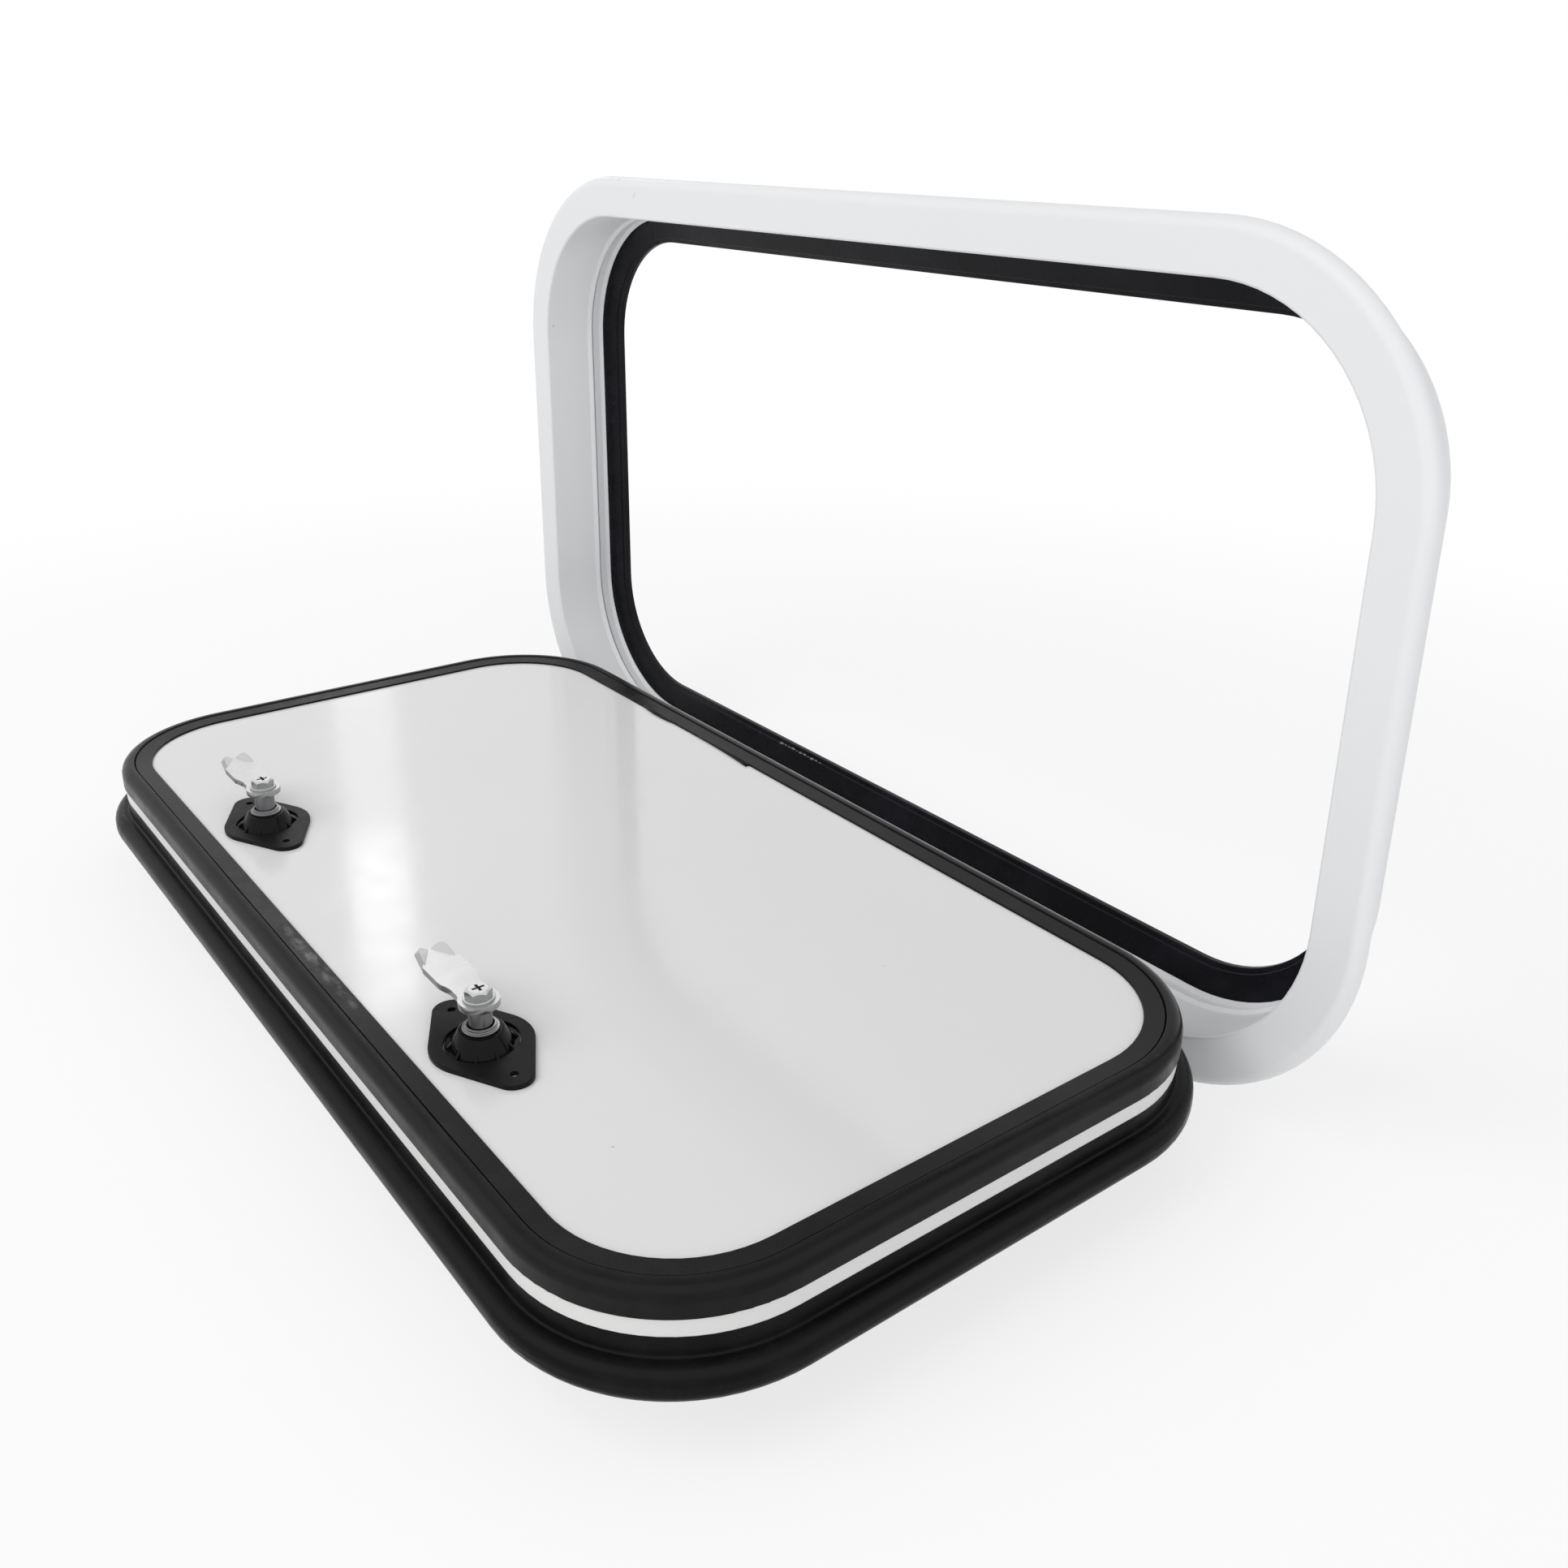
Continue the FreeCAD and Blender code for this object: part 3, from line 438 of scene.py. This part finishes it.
def zinc_steel(name, lit_face_colour, shaded_side_colour):
    """Bright zinc plating with an uneven gloss, and painted light: faces that look up or down get a lit
    colour, the sides a painted shaded one.
    """
    made = Finish(name)
    # Painted light: faces that look up or down get the lit colour, the sides the painted shaded colour
    upright = made.maths("ABSOLUTE", made.part_of(made.facing, "Z"), 0.0)
    lit_face_share = made.span(upright, *LIT_FACE_SPAN)
    cloud = made.span(made.noise(ZINC_CLOUDS), *ZINC_CLOUD_SPAN, to_high=ZINC_CLOUD_SHARE)
    tone = made.mix(lit_face_share, shaded_side_colour, lit_face_colour)
    made.set(Base_Color=made.mix(cloud, tone, shaded_side_colour), Metallic=1.0)
    made.set(Roughness=made.uneven(made.noise(ZINC_UNEVEN), ZINC_ROUGHNESS))
    return made.material


def foam(name):
    """Pale rigid foam with open cells."""
    made = Finish(name)
    cells = made.noise(FOAM_CELLS, detail=3.0)
    made.set(Base_Color=made.mix(cells, FOAM, shade(FOAM, FOAM_CELL_SHADE)), Roughness=FOAM_ROUGHNESS)
    made.bump(cells, *FOAM_BUMP)
    return made.material


def glue(name):
    """Dried clear glue over black rubber: dark, with a wet gloss."""
    made = Finish(name)
    made.set(Base_Color=made.mix(made.noise(GLUE_CLOUDS), GLUE, shade(GLUE, GLUE_LIGHTER)))
    made.set(Roughness=made.uneven(made.noise(GLUE_UNEVEN), GLUE_ROUGHNESS))
    made.bump(made.noise(GLUE_GRAIN), *GLUE_BUMP)
    return made.material


def make_finishes():
    """One material for each material slot of the record, and duller ones for a few pieces."""
    frame_marks = [(seen_at("frame_outer_ring", pixel), size, turn) for pixel, size, turn in FRAME_MARKS]
    frame_marks.append((seen_at("frame_outer_ring", REVEAL_MARK_PX), REVEAL_MARK_SIZE, 0.0))
    scuffs_and_sheen = [(seen_at("leaf_inner_seal", pixel), SCUFF_AND_SHEEN_SIZE, 0.0) for pixel in SCUFF_AND_SHEEN_PX]
    return {
        "frame_white": painted_white("frame_white", FRAME_WHITE, FRAME_ROUGHNESS, frame_marks),
        "panel_white": panel_white("panel_white"),
        "edge_white": painted_white("edge_white", EDGE_WHITE, EDGE_ROUGHNESS),
        "hinge_white": painted_white("hinge_white", EDGE_WHITE, HINGE_ROUGHNESS),
        "foam": foam("foam"),
        "seal_rubber": rubber("seal_rubber", SEAL_BLACK, SEAL_GLOSS),
        "edge_rubber": rubber("edge_rubber", EDGE_BLACK, EDGE_GLOSS, scuffs_and_sheen),
        "leaf_outer_seal": rubber("leaf_outer_seal", EDGE_BLACK, OUTER_GLOSS),
        "latch_black": black_plastic("latch_black", PLATE_BLACK, PLATE_ROUGHNESS, PLATE_GLOSS, PLATE_BUMP),
        "latch_gloss": black_plastic("latch_gloss", DOME_BLACK, DOME_ROUGHNESS, DOME_GLOSS, DOME_BUMP),
        "bright_steel": zinc_steel("bright_steel", ZINC_LIT_FACE, ZINC_SHADED_SIDE),
        "latch_collar": zinc_steel("latch_collar", COLLAR_LIT_FACE, COLLAR_SHADED_SIDE),
        "latch_spindle": zinc_steel("latch_spindle", STEEL_LIT_FACE, STEEL_SHADED_SIDE),
    }


def dress_nodes(finishes):
    """Gives each CAD node its own finish, or else the finish of its material slot."""
    for row in frame["record"]["subparts"]:
        node = frame["nodes"][row["node"]]
        piece = row["node"].removesuffix("_left").removesuffix("_right")
        node.data.materials.clear()
        node.data.materials.append(finishes.get(piece, finishes[row["material_slot"]]))


def break_edges():
    """Rounds the sharp edges of the latches' pieces a little, so that they catch the light."""
    for piece, width in EDGE_BREAK.items():
        for side in ("left", "right"):
            node = frame["nodes"][f"{piece}_{side}"]
            weld = node.modifiers.new("weld", "WELD")
            weld.merge_threshold = SAME_POINT
            bevel = node.modifiers.new("edge_break", "BEVEL")
            bevel.width = width
            bevel.segments = BREAK_STEPS
            bevel.limit_method = "ANGLE"
            bevel.angle_limit = math.radians(BREAK_ANGLE)
            bevel.harden_normals = True


def add_piece(name, mesh, finish, body):
    """Links a mesh as a piece of the object that rides on a body."""
    for polygon in mesh.polygons:
        polygon.use_smooth = True
    mesh.materials.append(finish)
    piece = bpy.data.objects.new(name, mesh)
    bpy.context.scene.collection.objects.link(piece)
    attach(piece, body)


def upright_solid(name, outline, low, high):
    """Mesh of a solid over a plan outline of (x, y) points."""
    made = bmesh.new()
    base = made.faces.new([made.verts.new((x, y, low)) for x, y in outline])
    top = bmesh.ops.extrude_face_region(made, geom=[base])["geom"]
    raised = [item for item in top if isinstance(item, bmesh.types.BMVert)]
    bmesh.ops.translate(made, verts=raised, vec=(0.0, 0.0, high - low))
    bmesh.ops.recalc_face_normals(made, faces=made.faces)
    mesh = bpy.data.meshes.new(name)
    made.to_mesh(mesh)
    made.free()
    return mesh


def lip_edge():
    """End of the inner rubber's lip on the hinge side: its place along Y, and the tops of panel and lip."""
    low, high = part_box("leaf_inner_skin")
    inside = Vector((LAP_TO_X, (low.y + high.y) / 2, high.z + LIP_SINK))
    surface = node_surface("leaf_inner_seal")
    edge = surface.ray_cast(inside, Vector((0.0, 1.0, 0.0)))[0].y
    above = Vector((LAP_TO_X, edge + LIP_INSET, cad_high.z))
    return edge, high.z, surface.ray_cast(above, Vector((0.0, 0.0, -1.0)))[0].z


def seal_ends(finish):
    """Ends of the leaf's inner rubber on the hinge side: one laps onto the panel; beside the other, which has
    lifted, a thin black strip on the panel stands for its edge and the shadow under it.
    """
    edge, panel_top, lip_top = lip_edge()
    lap = []
    outer = []
    inner = []
    for step in range(LIP_STEPS + 1):
        share = step / LIP_STEPS
        lap.append((LAP_FROM_X + share * (LAP_TO_X - LAP_FROM_X), edge - LAP_REACH * share ** 2))
        # The curl: a thin black strip that bows out from the lip, standing for the lifted edge and its shadow
        x = CURL_SHADOW_FROM_X + share * (CURL_SHADOW_TO_X - CURL_SHADOW_FROM_X)
        bow = edge + LIP_SINK - CURL_SHADOW_REACH * math.sin(math.pi * share)
        outer.append((x, bow))
        inner.insert(0, (x, bow + CURL_SHADOW_WIDTH))
    lap += [(LAP_TO_X, edge + LIP_SINK), (LAP_FROM_X, edge + LIP_SINK)]
    for name, outline in (("seal_end_lap", lap), ("seal_end_curl_shadow", outer + inner)):
        add_piece(name, upright_solid(name, outline, panel_top, lip_top), finish, "leaf")


def glue_smear(finish):
    """Row of flat dried drops of glue on the bottom of the frame's seal."""
    made = bmesh.new()
    seal = node_surface("frame_seal")
    for drop in range(GLUE_DROPS):
        near = GLUE_FROM.lerp(GLUE_TO, drop / (GLUE_DROPS - 1))
        near.z += GLUE_WANDER * math.sin(GLUE_SPREAD * drop)
        place, normal, _, _ = seal.find_nearest(near)
        size = GLUE_SIZE * (1.0 + GLUE_VARIES * math.cos(GLUE_SPREAD * drop))
        flat = normal.to_track_quat("Z", "Y").to_matrix().to_4x4()
        drop_frame = Matrix.Translation(place) @ flat @ Matrix.Diagonal((*size, 1.0))
        bmesh.ops.create_icosphere(made, subdivisions=GLUE_SUBDIVISIONS, radius=1.0, matrix=drop_frame)
    mesh = bpy.data.meshes.new("glue_smear")
    made.to_mesh(mesh)
    made.free()
    add_piece("glue_smear", mesh, finish, "frame")


def make_world():
    """Even soft light all round, and a plain white background that metal and gloss show too."""
    world = bpy.data.worlds.new("studio")
    bpy.context.scene.world = world
    world.use_nodes = True
    made = Nodes(world.node_tree)
    light = world.node_tree.nodes["Background"]
    light.inputs["Color"].default_value = (*SKY_TINT, 1.0)
    light.inputs["Strength"].default_value = SKY_DIFFUSE
    white = made.node("ShaderNodeBackground")
    white.inputs["Color"].default_value = (*WHITE, 1.0)
    white.inputs["Strength"].default_value = BACKGROUND_WHITE
    both = made.seen_or_lighting(white.outputs[0], light.outputs[0])
    made.feed(world.node_tree.nodes["World Output"].inputs["Surface"], both)


def floor_finish():
    """White floor that shows a light shadow near the object and runs out into the plain white background."""
    made = Finish("studio_floor")
    made.set(Base_Color=FLOOR_WHITE, Roughness=1.0, Specular_IOR_Level=0.0)
    distance = made.node("ShaderNodeVectorMath", operation="LENGTH")
    made.feed(distance.inputs[0], made.place)
    glow = made.node("ShaderNodeEmission")
    glow.inputs["Strength"].default_value = BACKGROUND_WHITE
    veil = made.node("ShaderNodeMixShader")
    share = made.span(distance.outputs["Value"], SHADE_NEAR, SHADE_FAR, FLOOR_SHADE, 0.0)
    made.feed(veil.inputs["Fac"], share)
    made.feed(veil.inputs[1], glow.outputs[0])
    made.feed(veil.inputs[2], made.shader.outputs[0])
    both = made.seen_or_lighting(veil.outputs[0], made.shader.outputs[0])
    made.feed(made.tree.nodes["Material Output"].inputs["Surface"], both)
    return made.material


def make_floor(low, high):
    """Floor under the part, centred below it."""
    half = FLOOR_SIZE / 2
    mesh = bpy.data.meshes.new("studio_floor")
    corners = [(-half, -half, 0.0), (half, -half, 0.0), (half, half, 0.0), (-half, half, 0.0)]
    mesh.from_pydata(corners, [], [(0, 1, 2, 3)])
    mesh.materials.append(floor_finish())
    floor = bpy.data.objects.new("studio_floor", mesh)
    bpy.context.scene.collection.objects.link(floor)
    middle = (low + high) / 2
    floor.location = (middle.x, middle.y, low.z - FLOOR_GAP)


def make_lamp(name, place, target, width, height, power, tint=WHITE, in_gloss=True):
    """Area lamp that faces a point, and that glossy surfaces may show or not."""
    data = bpy.data.lights.new(name, "AREA")
    data.shape = "RECTANGLE"
    data.size = width
    data.size_y = height
    data.energy = power
    data.color = tint
    lamp = bpy.data.objects.new(name, data)
    bpy.context.scene.collection.objects.link(lamp)
    lamp.location = place
    lamp.rotation_euler = (target - place).to_track_quat("-Z", "Y").to_euler()
    lamp.visible_glossy = in_gloss


def make_camera():
    """Camera solved from the photograph's edges."""
    right, up, ahead = camera_axes()
    data = bpy.data.cameras.new("camera")
    data.sensor_width = SENSOR_WIDTH
    data.lens = SENSOR_WIDTH * FOCAL_PX / IMAGE_PX
    data.shift_x = (IMAGE_PX / 2 - PRINCIPAL_PX[0]) / IMAGE_PX
    data.shift_y = (PRINCIPAL_PX[1] - IMAGE_PX / 2) / IMAGE_PX
    camera = bpy.data.objects.new("camera", data)
    bpy.context.scene.collection.objects.link(camera)
    camera.matrix_world = Matrix.Translation(CAMERA_PLACE) @ Matrix((right, up, -ahead)).transposed().to_4x4()
    bpy.context.scene.camera = camera


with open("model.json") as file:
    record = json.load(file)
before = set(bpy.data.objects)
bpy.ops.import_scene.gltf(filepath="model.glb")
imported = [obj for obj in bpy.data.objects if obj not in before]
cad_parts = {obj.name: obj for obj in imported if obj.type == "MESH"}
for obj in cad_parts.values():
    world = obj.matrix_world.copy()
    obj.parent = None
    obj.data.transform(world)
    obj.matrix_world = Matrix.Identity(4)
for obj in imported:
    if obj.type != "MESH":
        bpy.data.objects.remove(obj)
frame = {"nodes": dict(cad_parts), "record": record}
cad_low, cad_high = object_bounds()

finishes = make_finishes()
dress_nodes(finishes)
break_edges()
seal_ends(finishes["edge_rubber"])
glue_smear(glue("dried_glue"))
make_world()
make_floor(cad_low, cad_high)
make_lamp("key", KEY_PLACE, KEY_TARGET, KEY_SIZE, KEY_SIZE, KEY_POWER, KEY_TINT, in_gloss=False)
make_lamp("fill", FILL_PLACE, FILL_TARGET, FILL_SIZE, FILL_SIZE, FILL_POWER, in_gloss=False)
make_lamp("window", WINDOW_PLACE, WINDOW_TARGET, WINDOW_WIDTH, WINDOW_HEIGHT, WINDOW_POWER)
make_lamp("pane", PANE_PLACE, WINDOW_TARGET, WINDOW_WIDTH, PANE_HEIGHT, PANE_POWER)
make_camera()
bpy.context.scene.view_settings.view_transform = "Standard"
